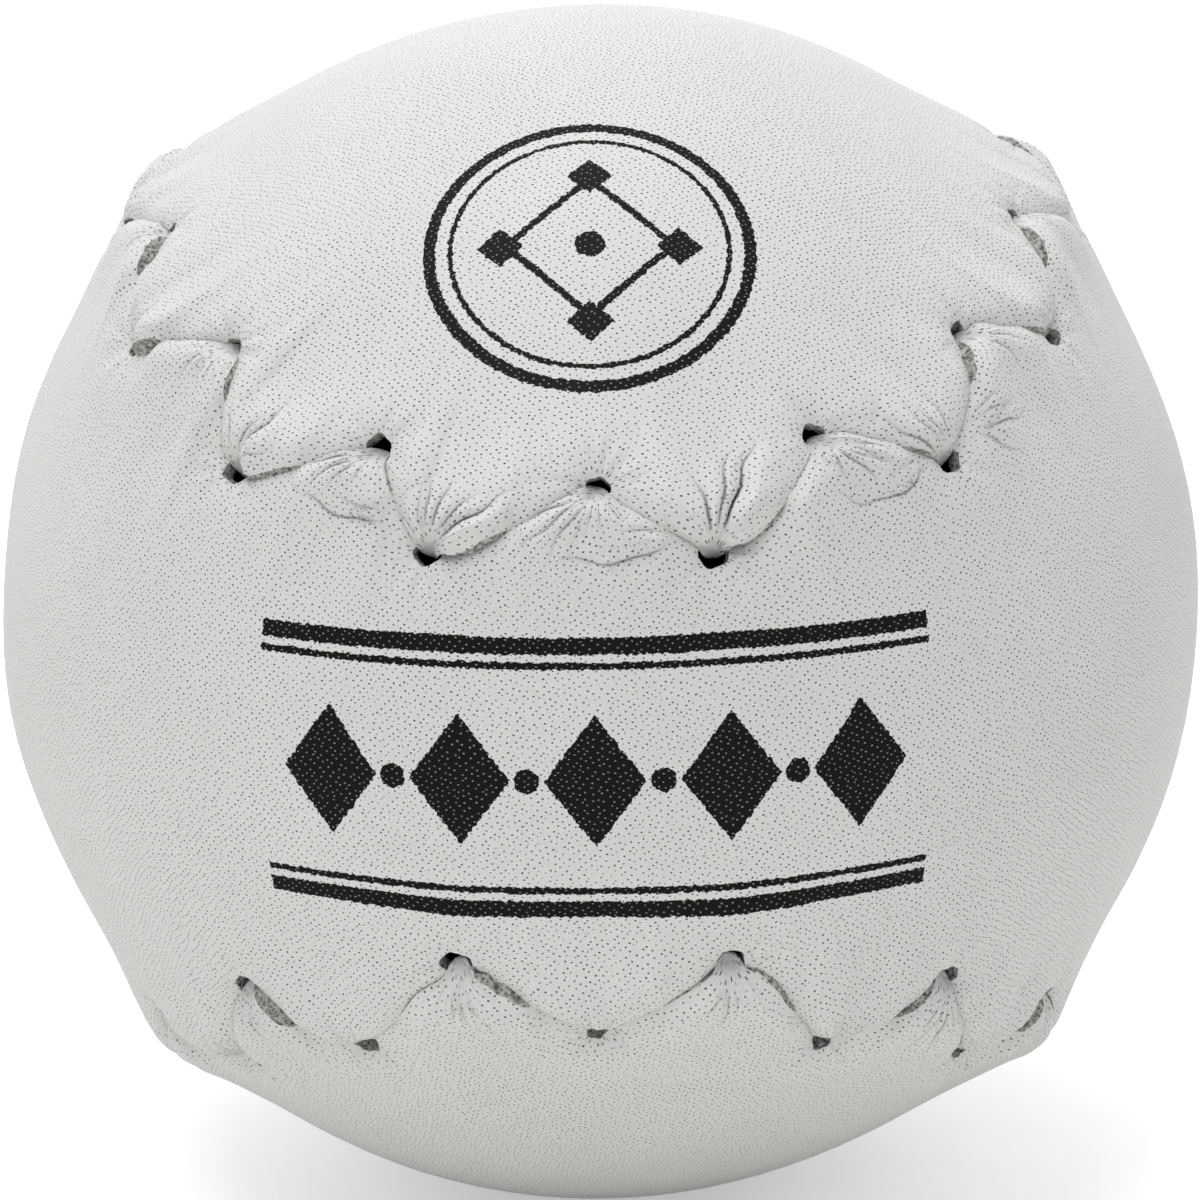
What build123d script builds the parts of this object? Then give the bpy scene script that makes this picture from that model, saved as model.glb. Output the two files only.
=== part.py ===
from build123d import *
import os
from math import acos, atan2, cos, pi, radians, sin, sqrt, tan

# A twelve-inch softball: two interlaced leather panels over a wound kapok core.
# Millimetres, origin at the ball's centre, +Z up, -Y towards the viewer.

# The ball and its layers
CIRCUMFERENCE = 304.8
LEATHER = 1.4
CEMENT = 0.3
WINDING = 9.0
LAYER_GAP = 0.1

# The seam: WAIST is the front panel's least width, measured over the curve
WAIST = 34.8
SEAM_POINTS = 96
EDGE_GAP = 0.1

# The tabs along each panel's edge, and the holes that their tips are drawn into
TAB_COUNT = 30
TAB_REACH = 3.6
TAB_ROOT = 5.0
TAB_START = 2.0
TAB_SIDE_GAP = 0.15
TAB_BED_GAP = 0.1
TAB_EDGE_BEVEL = 0.35
STEM_DIAMETER = 1.6
TIP_LIP = 0.3
STEM_GAP = 0.2
HOLE_PLAY = 0.7

# The waxed lace that draws the tips down, with flattened sides and its ends in one knot,
# and the room beside it in the winding
LACE_DIAMETER = 1.2
LACE_SIDES = 8
LACE_GAP = 0.1
LACE_BEND_SHARE = 0.45
KNOT_DIAMETER = 2.6
CHANNEL_ROOM = 0.8

# The cement stops this far short of the seam
CEMENT_MARGIN = 7.0

# Radii of the layers, from the outside in
ball_radius = CIRCUMFERENCE / (2 * pi)
cover_inside = ball_radius - LEATHER
cement_outside = cover_inside - LAYER_GAP
cement_inside = cement_outside - CEMENT
winding_outside = cement_inside - LAYER_GAP
winding_inside = winding_outside - WINDING
core_radius = winding_inside - LAYER_GAP

# The seam is a closed wave round the ball, whose three amplitudes follow from the waist
waist_angle = WAIST / 2 / ball_radius
seam_a = ball_radius * (1 + sin(waist_angle)) / 2
seam_b = ball_radius - seam_a
seam_c = 2 * sqrt(seam_a * seam_b)


def seam_point(turn):
    """A point of the seam, for a turn that starts at the top of the front waist."""
    return Vector(
        seam_a * sin(turn) + seam_b * sin(3 * turn),
        -seam_c * cos(2 * turn),
        seam_a * cos(turn) - seam_b * cos(3 * turn),
    )


with BuildLine():
    seam = Spline([seam_point(2 * pi * i / SEAM_POINTS) for i in range(SEAM_POINTS)], periodic=True)

# A tab leaves the ball along a tangent, stands clear of it from TAB_START on, and its tip
# lies on the other panel
pitch = seam.length / TAB_COUNT
tab_rise = LEATHER + TAB_BED_GAP
tab_length = sqrt((ball_radius + tab_rise) ** 2 - ball_radius**2)
tab_root_offset = TAB_REACH - ball_radius * acos(ball_radius / (ball_radius + tab_rise))
tab_width = pitch / 2 - 2 * TAB_SIDE_GAP
tab_depth = tab_rise + LEATHER / 2

# The drawn-in tip is a stem at the middle of the tab's rounded end
tip_radius = STEM_DIAMETER / 2 + TIP_LIP
stem_offset = TAB_REACH - tip_radius / sin(atan2(tab_width / 2, TAB_REACH))
stem_height = tab_rise + LEATHER / 2
hole_radius = STEM_DIAMETER / 2 + HOLE_PLAY
hole_offset = stem_offset + HOLE_PLAY - STEM_GAP


def frame_on_seam(share, sideways, radius, way=1):
    """A plane square to the ball, whose y axis points across the seam as a tab does."""
    middle = (seam @ share).normalized()
    along = (seam % share) * way
    across = middle.cross(along).normalized()
    angle = sideways / ball_radius
    outward = middle * cos(angle) + across * sin(angle)
    return Plane(origin=outward * radius, x_dir=along, z_dir=outward)


def frames_along(shares, sideways, radius, way):
    return [frame_on_seam(share, sideways, radius, way) for share in shares]


def seam_fence(margin):
    """Flat faces from the ball's centre through the seam, moved sideways by the margin."""
    shares = [(i + 0.5) / (2 * TAB_COUNT) for i in range(2 * TAB_COUNT)]
    posts = [plane.origin for plane in frames_along(shares, margin, 2 * ball_radius, 1)]
    centre = Vector(0, 0, 0)
    pairs = zip(posts, posts[1:] + posts[:1])
    return Shell([Face(Wire.make_polygon([centre, p, q])) for p, q in pairs])


def cut_layer(inside, outside, margin):
    """A spherical layer cut along the seam: its front piece, then its rear piece."""
    with BuildPart() as layer:
        Sphere(outside)
        Sphere(inside, mode=Mode.SUBTRACT)
    return layer.part.solid().split(seam_fence(margin), keep=Keep.ALL).sort_by(Axis.Y)


# One tab, lying on the plane that touches the ball behind the tab's root
with BuildPart() as tab:
    with BuildSketch() as tab_outline:
        with BuildLine():
            Polyline(
                (-TAB_ROOT / 2, TAB_START),
                (TAB_ROOT / 2, TAB_START),
                (tab_width / 2, tab_length - TAB_REACH),
                (0, tab_length),
                (-tab_width / 2, tab_length - TAB_REACH),
                close=True,
            )
        make_face()
        fillet(tab_outline.vertices().sort_by(Axis.Y)[-1], tip_radius)
    extrude(amount=-tab_depth)
    tip_edges = tab.faces().sort_by(Axis.Z)[-1].edges().sort_by(Axis.Y)[-3:]
    chamfer(tip_edges, TAB_EDGE_BEVEL)


def tab_row(shares, way, bed):
    """One panel's tabs, cut off flush inside the cover and over the other panel's bed."""
    with BuildPart() as row:
        with Locations(*frames_along(shares, tab_root_offset, ball_radius, way)):
            add(tab.part)
        Sphere(cover_inside, mode=Mode.SUBTRACT)
        add(bed, mode=Mode.SUBTRACT)
    return row.part


# Front tabs point across the seam one way, and rear tabs lie between them the other way
front_shares = [i / TAB_COUNT for i in range(TAB_COUNT)]
rear_shares = [(i + 0.5) / TAB_COUNT for i in range(TAB_COUNT)]
bed_outside = ball_radius + TAB_BED_GAP
upright = (Align.CENTER, Align.CENTER, Align.MIN)

with BuildPart() as front_panel:
    add(cut_layer(cover_inside, ball_radius, -EDGE_GAP / 2)[0])
    add(tab_row(front_shares, 1, cut_layer(cover_inside, bed_outside, -EDGE_GAP / 2)[1]))
    with Locations(*frames_along(front_shares, stem_offset, cover_inside, 1)):
        Cylinder(STEM_DIAMETER / 2, stem_height, align=upright)
    with Locations(*frames_along(rear_shares, hole_offset, bed_outside, -1)):
        Hole(hole_radius, depth=2 * LEATHER)

with BuildPart() as rear_panel:
    add(cut_layer(cover_inside, ball_radius, EDGE_GAP / 2)[1])
    add(tab_row(rear_shares, -1, cut_layer(cover_inside, bed_outside, EDGE_GAP / 2)[0]))
    with Locations(*frames_along(rear_shares, stem_offset, cover_inside, -1)):
        Cylinder(STEM_DIAMETER / 2, stem_height, align=upright)
    with Locations(*frames_along(front_shares, hole_offset, bed_outside, 1)):
        Hole(hole_radius, depth=2 * LEATHER)

# The cement lines each panel, short of the seam
with BuildPart() as front_cement:
    add(cut_layer(cement_inside, cement_outside, -CEMENT_MARGIN)[0])

with BuildPart() as rear_cement:
    add(cut_layer(cement_inside, cement_outside, CEMENT_MARGIN)[1])

# The lace runs under the cover from tip to tip, and its two ends meet in a knot under one tip
stations = 2 * TAB_COUNT
knot_station = TAB_COUNT // 2
lace_track = cover_inside - LAYER_GAP - LACE_DIAMETER / 2
knot_track = cover_inside - LAYER_GAP - KNOT_DIAMETER / 2


def under_tip(station, radius):
    way = -1 if station % 2 else 1
    return frame_on_seam(station % stations / stations, TAB_REACH, radius, way).origin


def bend_radius(before, corner, after):
    """The largest arc that the two runs at a corner leave room for."""
    half_turn = radians((corner - before).get_angle(after - corner)) / 2
    shorter_run = min((corner - before).length, (after - corner).length)
    return LACE_BEND_SHARE * shorter_run / tan(half_turn)


knot_centre = under_tip(knot_station, knot_track)
corners = [under_tip(knot_station + 1 + i, lace_track) for i in range(stations - 1)]
knot_room = KNOT_DIAMETER / 2 + LACE_GAP
lace_start = knot_centre + (corners[0] - knot_centre).normalized() * knot_room
lace_end = knot_centre + (corners[-1] - knot_centre).normalized() * knot_room
route_points = [lace_start, *corners, lace_end]
bends = [bend_radius(*route_points[i : i + 3]) for i in range(len(corners))]
longest_run = max((p - q).length for p, q in zip(corners, corners[1:]))
lace_dip = lace_track - sqrt(lace_track**2 - (longest_run / 2) ** 2)

with BuildLine() as lace_route:
    FilletPolyline(*route_points, radius=bends)

with BuildPart() as seam_lace:
    lace_path = lace_route.wire()
    with BuildSketch(Plane(origin=lace_path @ 0, z_dir=lace_path % 0)) as lace_section:
        RegularPolygon(LACE_DIAMETER / 2, LACE_SIDES)
    sweep(path=lace_path)

with BuildPart() as lace_knot:
    with Locations(knot_centre):
        Sphere(KNOT_DIAMETER / 2)

# The winding is pressed in along the seam, as deep as the lace dips to the knot
channel_floor = knot_track - LACE_DIAMETER / 2 - lace_dip - LACE_GAP
channel_reach = TAB_REACH + LACE_DIAMETER / 2 + CHANNEL_ROOM

with BuildPart() as elastic_winding:
    add(cut_layer(winding_inside, winding_outside, -channel_reach)[0])
    add(cut_layer(winding_inside, winding_outside, channel_reach)[1])
    Sphere(channel_floor)
    Sphere(winding_inside, mode=Mode.SUBTRACT)
    with Locations(knot_centre):
        Sphere(knot_room, mode=Mode.SUBTRACT)

with BuildPart() as kapok_core:
    Sphere(core_radius)

lace_length = lace_path.length
lace_share = seam_lace.part.volume / (lace_length * lace_section.sketch.area)
print(f"seam {seam.length:.1f} mm, pitch {pitch:.2f} mm, lace {lace_length:.1f} mm")
print(f"lace bends {min(bends):.2f} to {max(bends):.2f} mm, volume to section by length {lace_share:.4f}")

pieces = {
    "kapok_core": kapok_core,
    "elastic_winding": elastic_winding,
    "front_cement": front_cement,
    "rear_cement": rear_cement,
    "seam_lace": seam_lace,
    "lace_knot": lace_knot,
    "front_panel": front_panel,
    "rear_panel": rear_panel,
}
os.makedirs("parts", exist_ok=True)
for name, piece in pieces.items():
    piece.part.label = name
    export_step(piece.part, f"parts/{name}.step")
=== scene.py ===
from math import cos, pi, radians, sin, sqrt

import bpy
import numpy as np
from mathutils import Matrix, Vector
from mathutils.geometry import delaunay_2d_cdt


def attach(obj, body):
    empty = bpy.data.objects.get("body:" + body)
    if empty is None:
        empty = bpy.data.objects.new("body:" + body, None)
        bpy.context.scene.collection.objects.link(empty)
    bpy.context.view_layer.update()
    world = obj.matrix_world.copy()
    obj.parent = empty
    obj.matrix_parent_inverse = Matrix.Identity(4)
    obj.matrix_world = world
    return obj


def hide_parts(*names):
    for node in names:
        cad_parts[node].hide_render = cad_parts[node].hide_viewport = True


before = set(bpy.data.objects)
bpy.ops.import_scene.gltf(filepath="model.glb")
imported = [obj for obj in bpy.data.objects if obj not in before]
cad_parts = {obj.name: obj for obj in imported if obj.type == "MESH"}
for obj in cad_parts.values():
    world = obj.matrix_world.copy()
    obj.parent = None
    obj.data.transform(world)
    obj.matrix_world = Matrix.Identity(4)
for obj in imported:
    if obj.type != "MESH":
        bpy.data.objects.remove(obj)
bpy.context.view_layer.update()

# A twelve-inch softball. Lengths are millimetres until a mesh is made.
MM = 0.001
CIRCUMFERENCE = 304.8
BALL_RADIUS = CIRCUMFERENCE / (2 * pi)
WAIST = 34.8
TAB_COUNT = 60
LEATHER = 1.25
COVER_INSIDE = -1.35
FAR_AWAY = 99.0

chance = np.random.default_rng(12)

# The seam is a closed wave round the ball, whose three amplitudes follow from the waist
SEAM_SAMPLES = 8192
waist_angle = WAIST / 2 / BALL_RADIUS
seam_a = BALL_RADIUS * (1 + sin(waist_angle)) / 2
seam_b = BALL_RADIUS - seam_a
seam_c = 2 * sqrt(seam_a * seam_b)


def seam_point(turn):
    return np.stack([
        seam_a * np.sin(turn) + seam_b * np.sin(3 * turn),
        -seam_c * np.cos(2 * turn),
        seam_a * np.cos(turn) - seam_b * np.cos(3 * turn),
    ], -1)


def seam_heading(turn):
    heading = np.stack([
        seam_a * np.cos(turn) + 3 * seam_b * np.cos(3 * turn),
        2 * seam_c * np.sin(2 * turn),
        -seam_a * np.sin(turn) + 3 * seam_b * np.sin(3 * turn),
    ], -1)
    return heading / np.linalg.norm(heading, axis=-1, keepdims=True)


seam_turns = np.linspace(0, 2 * pi, SEAM_SAMPLES + 1)
seam_steps = np.linalg.norm(np.diff(seam_point(seam_turns), axis=0), axis=1)
seam_reached = np.concatenate([[0], np.cumsum(seam_steps)])
SEAM_LENGTH = seam_reached[-1]
PITCH = SEAM_LENGTH / TAB_COUNT


def on_ball(along, across, rise):
    """Points from the place along the seam, the distance across it and the rise over the ball."""
    turn = np.interp(np.mod(along, SEAM_LENGTH), seam_reached, seam_turns)
    up = seam_point(turn) / BALL_RADIUS
    side = np.cross(up, seam_heading(turn))
    angle = (across / BALL_RADIUS)[..., None]
    return (BALL_RADIUS + rise)[..., None] * (np.cos(angle) * up + np.sin(angle) * side)


def ease(x):
    """From 0 to 1 with soft ends."""
    x = np.clip(x, 0, 1)
    return x * x * (3 - 2 * x)


def bell(x, width):
    """1 on the line, falling softly over the width."""
    return np.exp(-((x / width) ** 2))


def fade(x, width):
    """1 at the start, falling at once."""
    return np.exp(-x / width)


def wrapped(gap):
    """The shortest way along the seam between two places."""
    return (gap + SEAM_LENGTH / 2) % SEAM_LENGTH - SEAM_LENGTH / 2


def chosen(share, low, high):
    """For each tab, a value between low and high, or nothing."""
    return np.where(chance.random(TAB_COUNT) < share, chance.uniform(low, high, TAB_COUNT), 0)


# The tabs: even ones belong to the front panel and odd ones to the rear panel
tabs = {
    "drift": np.clip(chance.normal(0, 0.6, TAB_COUNT), -1.3, 1.3),
    "reach": chance.uniform(2.4, 3.1, TAB_COUNT),
    "shoulder_before": chance.uniform(0.5, 0.9, TAB_COUNT) + chosen(0.3, 0.5, 1.2),
    "shoulder_after": chance.uniform(0.5, 0.9, TAB_COUNT) + chosen(0.3, 0.5, 1.4),
    "open_before": chosen(0.4, 0.2, 0.8),
    "open_after": chosen(0.4, 0.2, 0.8),
    "pleat": chosen(0.5, 0.4, 0.8) * np.sign(chance.uniform(-1, 1, TAB_COUNT)),
    "hole": chance.uniform(0.85, 1.05, TAB_COUNT),
    "hole_gap": chance.uniform(0.1, 0.35, TAB_COUNT),
    "hole_slip": chance.uniform(-0.4, 0.4, TAB_COUNT),
    "roll": chance.uniform(0.15, 0.5, TAB_COUNT),
    "dip": np.full(TAB_COUNT, 1.15),
}

# The tabs that face the viewer, set one by one as they lie
facing_tabs = {
    52: dict(open_after=1.0),
    53: dict(open_before=0.7),
    54: dict(drift=1.6, open_after=1.0, open_before=0),
    55: dict(drift=1.8, reach=2.8, open_after=1.3, shoulder_after=0.4, hole=0.8, hole_gap=0.0),
    56: dict(drift=2.2, reach=3.1, open_after=0.45),
    57: dict(drift=-0.1, reach=2.9, shoulder_after=2.0, open_after=0.5, open_before=0),
    58: dict(drift=0.8, reach=2.75, shoulder_before=1.1, open_after=0.2, open_before=0,
             hole=1.05, hole_gap=0.35, hole_slip=0.35, roll=0.2),
    59: dict(drift=-1.8, reach=2.45, shoulder_after=1.6, open_after=0.45, open_before=0,
             hole=1.0, hole_slip=-0.1, roll=0.4),
    0: dict(drift=0.0, reach=2.9, shoulder_before=0.9, open_after=0, open_before=0,
            hole=0.9, hole_gap=0.1, hole_slip=0.45, roll=0.2),
    1: dict(drift=-0.7, reach=2.1, shoulder_after=2.3, open_after=0.4, open_before=0,
            hole=1.05, hole_gap=0.2, hole_slip=-0.3, roll=0.6),
    2: dict(drift=0.2, reach=2.9, shoulder_after=1.5, open_after=0, open_before=0,
            hole_gap=0.3, hole_slip=-0.35, roll=0.2),
    3: dict(drift=-0.3, reach=2.7, shoulder_after=0.5, open_after=0, open_before=0.35, hole=1.0),
    4: dict(drift=-0.7, reach=2.8, shoulder_after=1.4, open_after=0, open_before=0.9),
    5: dict(drift=-2.0, reach=2.5),
    6: dict(drift=-1.8, reach=3.1, open_after=0, open_before=0.9),
    8: dict(open_before=0.9),
    25: dict(drift=1.2, open_after=1.2, open_before=1.2),
    27: dict(drift=0.6, reach=3.2, open_after=0.5, open_before=0, hole_gap=0.4, dip=0.75),
    28: dict(drift=-0.8, reach=2.9, open_after=0, open_before=0),
    29: dict(drift=0.0, reach=3.2, open_after=0.1, open_before=0.65,
             hole=1.0, hole_gap=0.4, hole_slip=0.3, dip=0.75),
    30: dict(drift=0.15, reach=3.1, open_after=0, open_before=0),
    31: dict(drift=0.0, reach=3.1, open_after=0.1, open_before=0.8,
             hole=1.05, hole_gap=0.5, hole_slip=0.4, dip=0.75),
    32: dict(drift=1.7, reach=2.8, open_after=0.1, open_before=0),
    33: dict(drift=0.2, reach=3.2, shoulder_before=0.6, open_after=0, open_before=1.2,
             hole_gap=0.4, hole_slip=0.3, dip=0.75),
    34: dict(drift=-0.6, hole=0.95, hole_gap=0.5),
}
for index, values in facing_tabs.items():
    for name, value in values.items():
        tabs[name][index] = value

tab_number = np.arange(TAB_COUNT)
tab_way = np.where(tab_number % 2, -1.0, 1.0)
tab_place = tab_number * PITCH + tabs["drift"]
hole_across = tabs["reach"] + tabs["hole_gap"]
hole_place = tab_place + tabs["hole_slip"]

# The edge line where one panel gives way to the other, on a fine ruler along the seam
RULER_MARKS = 10800
EDGE_ROUND = 0.35
WAVER_HEIGHT, WAVER_LENGTH = 0.12, 0.8
FRAY_HEIGHT, FRAY_LENGTH = 0.09, 0.12
LEAST_STEP = 0.06
LAP_LEAST, LAP_AT_TIP = 0.25, 2.2
ruler = np.arange(RULER_MARKS) * SEAM_LENGTH / RULER_MARKS


def softened(line, width):
    """The line blurred by a bell of that width."""
    waves = np.fft.rfftfreq(len(line), SEAM_LENGTH / len(line))
    return np.fft.irfft(np.fft.rfft(line) * np.exp(-2 * (pi * waves * width) ** 2), len(line))


corner_place = np.stack(
    [tab_place - tabs["shoulder_before"], tab_place + tabs["shoulder_after"]], 1
)
corner_across = np.repeat(tab_way * tabs["reach"], 2)
edge_line = np.interp(ruler, corner_place.ravel(), corner_across, period=SEAM_LENGTH)
waver = softened(chance.normal(0, 1, len(ruler)), WAVER_LENGTH)
edge_line = softened(edge_line, EDGE_ROUND) + WAVER_HEIGHT * waver / waver.std()
edge_slope = np.gradient(edge_line, SEAM_LENGTH / len(ruler))

# Each mark of the ruler belongs to a tab, and lies some way up it, before or after its tip
other_panel = np.sign(edge_line)[:, None] != tab_way
nearest = np.argmin(
    np.abs(wrapped(ruler[:, None] - tab_place)) + FAR_AWAY * other_panel, axis=1
)
up_the_tab = np.clip(np.abs(edge_line) / tabs["reach"][nearest], 0, 1)
after_tip = wrapped(ruler - tab_place[nearest]) > 0
opening = np.where(after_tip, tabs["open_after"][nearest], tabs["open_before"][nearest])
lens = (4 * up_the_tab * (1 - up_the_tab)) ** 0.8

# How far the cut edge stands open, how it frays and rolls, and how far the other panel laps under
edge_step = LEAST_STEP * ease(up_the_tab / 0.2) + opening * lens
fray = softened(chance.normal(0, 1, len(ruler)), FRAY_LENGTH)
edge_line = edge_line + FRAY_HEIGHT * np.clip(opening, 0, 1) * lens * fray / fray.std()
edge_step = np.maximum(softened(edge_step, 0.25), 0)
edge_roll = softened(tabs["roll"][nearest] * ease(up_the_tab / 0.1), 0.4)
tuck = softened(LAP_LEAST + LAP_AT_TIP * ease(up_the_tab / 0.9), 0.3)


def at(along, line):
    """A ruler line's values at places along the seam."""
    return np.interp(along, ruler, line, period=SEAM_LENGTH)


def lies_on_top(edge):
    """1 where a panel's edge lies over the other panel, 0 where it lies under it."""
    return ease(edge + 0.5)


# Waves through the ball make its leather lie unevenly
SLOW_HEIGHT, QUICK_HEIGHT = 0.07, 0.04
QUICK_REACH = 6.0


def ripples(count, shortest, longest):
    heading = chance.normal(0, 1, (count, 3))
    heading /= np.linalg.norm(heading, axis=1, keepdims=True)
    waves = heading * 2 * pi / chance.uniform(shortest, longest, (count, 1))
    return waves, chance.uniform(0, 2 * pi, count)


slow_ripples = ripples(10, 14, 34)
quick_ripples = ripples(24, 2.2, 5.0)


def rippled(points, waves):
    return np.sin(points @ waves[0].T + waves[1]).sum(-1) / sqrt(len(waves[1]) / 2)


# Creases run from the tabs' tips and into the leather beside their flanks. A place that is
# NO_CREASE off the nearest one has none.
NO_CREASE = 9.0
HAIRLINE, FINE, PLAIN = 0.2, 0.26, 0.38


def gather(count, spread, deep, far):
    """A fan of creases, each with its bearing, its bend, its depth and its length."""
    bearings = np.linspace(-spread, spread, count)
    bearings = bearings + chance.uniform(-0.45, 0.45, count) * spread / count
    return [
        dict(
            bearing=radians(bearing),
            bend=chance.normal(0, 0.035),
            deep=chance.uniform(*deep),
            wide=chance.uniform(0.3, 0.5),
            far=chance.uniform(*far),
            flap=0,
        )
        for bearing in bearings
    ]


def set_creases(*rows, wide=PLAIN, bend=None):
    """Creases laid one by one: bearing, depth, length and the flap that stands beside the line."""
    return [
        dict(
            bearing=radians(bearing),
            bend=0.03 * sin(radians(5 * bearing) + 9 * deep) if bend is None else bend,
            deep=deep,
            wide=wide,
            far=far,
            flap=flap,
        )
        for bearing, deep, far, flap in rows
    ]


tip_creases = []
side_creases = []
for number in tab_number:
    tip_creases.append(gather(chance.integers(4, 8), 60, (0.3, 0.95), (3.5, 8.0)))
    pleat = tabs["pleat"][number]
    if pleat:
        turn = np.sign(pleat)
        tip_creases[-1] += set_creases((34 * turn, abs(pleat), 9.0, 0.4 * turn))
    for after in (-1, 1):
        if chance.random() < 0.65:
            fan = gather(chance.integers(3, 6), 30, (0.12, 0.36), (2.5, 6.0))
            side_creases.append((number, after, chance.uniform(0.1, 0.6), fan))

# The same for the tabs that face the viewer
facing_creases = {
    57: [(8, 0.7, 5, 0), (27, 0.9, 7, 0.45), (48, 0.45, 5, 0), (-30, 0.35, 5, 0)],
    58: [(-76, 0.6, 6, 0), (-62, 0.65, 6.5, 0), (-46, 0.6, 6, 0), (-28, 0.5, 4.5, 0),
         (5, 0.4, 3, 0)],
    59: [(-50, 0.35, 4, 0), (-26, 0.5, 5, 0), (-8, 0.7, 5.5, 0), (8, 0.6, 6, 0),
         (24, 0.7, 6, 0), (44, 1.0, 8, 0.65)],
    0: [(-78, 0.55, 7, 0), (-66, 0.65, 8, 0), (-54, 0.6, 8, 0), (-40, 0.6, 6.5, 0),
        (-24, 0.5, 5, 0), (-6, 0.55, 4, 0), (38, 0.4, 4, 0)],
    1: [(-7, 0.75, 6, 0), (10, 0.8, 8, 0), (27, 1.2, 9, 0.85), (-40, 0.2, 3, 0)],
    2: [(64, 0.6, 6, 0), (50, 0.65, 7, 0), (36, 0.6, 7, 0), (20, 0.6, 6, 0),
        (0, 0.45, 4, 0), (-30, 0.4, 3, 0)],
    3: [(-68, 0.65, 6, 0), (-50, 0.7, 7, 0), (-30, 0.5, 6, 0), (-10, 0.5, 5, 0),
        (12, 0.45, 5, 0)],
}
facing_hairlines = {
    54: [(-15, 0.3, 4, 0), (10, 0.3, 4, 0)],
    55: [(-30, 0.3, 4, 0), (15, 0.35, 5, 0)],
    56: [(-25, 0.4, 5, 0), (-5, 0.35, 4, 0), (15, 0.35, 4, 0), (35, 0.3, 4, 0)],
    4: [(20, 0.4, 6, 0), (40, 0.35, 6, 0), (60, 0.3, 5, 0)],
    5: [(-40, 0.3, 4, 0), (-10, 0.3, 4, 0)],
    6: [(20, 0.3, 4, 0), (45, 0.3, 5, 0)],
    27: [(24, 0.4, 6, 0), (4, 0.5, 7, 0), (-16, 0.55, 7, -0.35), (-36, 0.35, 5, 0)],
    29: [(30, 0.35, 5, 0), (8, 0.4, 6, 0.25), (-16, 0.3, 4, 0)],
    31: [(26, 0.4, 5, 0), (12, 0.5, 5, 0), (-4, 0.55, 7, -0.3), (-20, 0.3, 4, 0)],
    33: [(15, 0.35, 5, 0), (40, 0.3, 4, 0), (-20, 0.25, 4, 0)],
}
for number in (25, 26, 28, 30, 32, 34):
    facing_hairlines[number] = [(-25, 0.25, 4, 0), (20, 0.25, 4, 0)]
for number, rows in facing_creases.items():
    tip_creases[number] = set_creases(*rows)
for number, rows in facing_hairlines.items():
    tip_creases[number] = set_creases(*rows, wide=HAIRLINE)


def crescent(long, bend, short):
    """A long, bent crease that hangs from a tab's side, and a short one beside it."""
    return set_creases(long, wide=FINE, bend=bend) + set_creases(short, wide=FINE)


# No fan beside these tabs is left to chance. 59, 1 and 3 have crescents, and 3 has a fan too.
calm_tabs = (59, 1, 3, 27, 28, 29, 30, 31, 32, 33, 34, 35, 54, 55, 56)
side_creases = [crease for crease in side_creases if crease[0] not in calm_tabs]
side_fan = [(14, 0.5, 7, 0), (28, 0.6, 8, 0), (44, 0.55, 7, 0), (58, 0.6, 7, 0), (74, 0.5, 5, 0)]
side_creases += [
    (59, -1, 0.35, crescent((30, 0.65, 11, 0), 0.06, (62, 0.5, 6, 0))),
    (1, -1, 0.4, crescent((29, 0.65, 11, 0), 0.056, (78, 0.5, 5, 0))),
    (3, 1, 0.35, set_creases(*side_fan, wide=FINE)),
    (3, -1, 0.3, crescent((16, 0.6, 10, 0), 0.107, (66, 0.5, 5, 0))),
]

draw_strength = chance.uniform(0.45, 1.0, TAB_COUNT)
pucker_sets = [(chance.integers(7, 12), chance.uniform(0, 2 * pi, 3)) for number in tab_number]

# A crease's section is a valley with a sharp bottom between full shoulders
CREASE_DEPTH = 0.8
VALLEY, BOTTOM, SHOULDERS = 0.65, 0.35, 0.3
BOTTOM_WIDE, SHOULDERS_WIDE = 0.2, 3.0
VALLEY_ROUND = 0.05
CREASE_START, CREASE_FADE, CREASE_FAN = 0.8, 0.65, 1.4
CREASE_WANDER = 0.03
LINE_START, LINE_GROWTH = 0.7, 1.3
FLAP_MIDDLE, FLAP_WIDE = 1.0, 0.9


def creased(rise, lines, distance, bearing, creases, clear=0.0):
    """Presses a fan of creases into the leather, sharp along their lines and full between them.

    lines holds the distance from the nearest crease and from the next one, and the nearest one's
    strength. The leather stays flat up to clear."""
    for crease in creases:
        wander = CREASE_WANDER * np.sin(1.9 * distance + 40 * crease["bearing"])
        off_line = bearing - crease["bearing"] - (crease["bend"] * distance + wander)
        sideways = distance * np.sin(np.clip(off_line, -1.5, 1.5))
        left = (crease["far"] - distance) / (CREASE_FADE * crease["far"])
        run = ease((distance - clear) / CREASE_START) * ease(left)
        run = run * (np.abs(off_line) < CREASE_FAN)
        width = crease["wide"] * (0.6 + 0.14 * distance)
        line = np.sqrt(sideways**2 + VALLEY_ROUND**2)
        valley = VALLEY * fade(line, width) + BOTTOM * bell(sideways, BOTTOM_WIDE)
        valley -= SHOULDERS * bell(sideways / width, SHOULDERS_WIDE)
        rise -= CREASE_DEPTH * crease["deep"] * run * valley
        off = np.where(run > 0.02, sideways, NO_CREASE)
        strength = crease["deep"] * run * ease((distance - clear - LINE_START) / LINE_GROWTH)
        closer = np.abs(off) < np.abs(lines[0])
        lines[1] = np.where(closer, np.abs(lines[0]), np.minimum(lines[1], np.abs(off)))
        lines[0] = np.where(closer, off, lines[0])
        lines[2] = np.where(closer, strength, lines[2])
        if crease["flap"]:
            over = np.sign(crease["flap"]) * sideways
            rise += abs(crease["flap"]) * run * bell(over - FLAP_MIDDLE, FLAP_WIDE)


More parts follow.
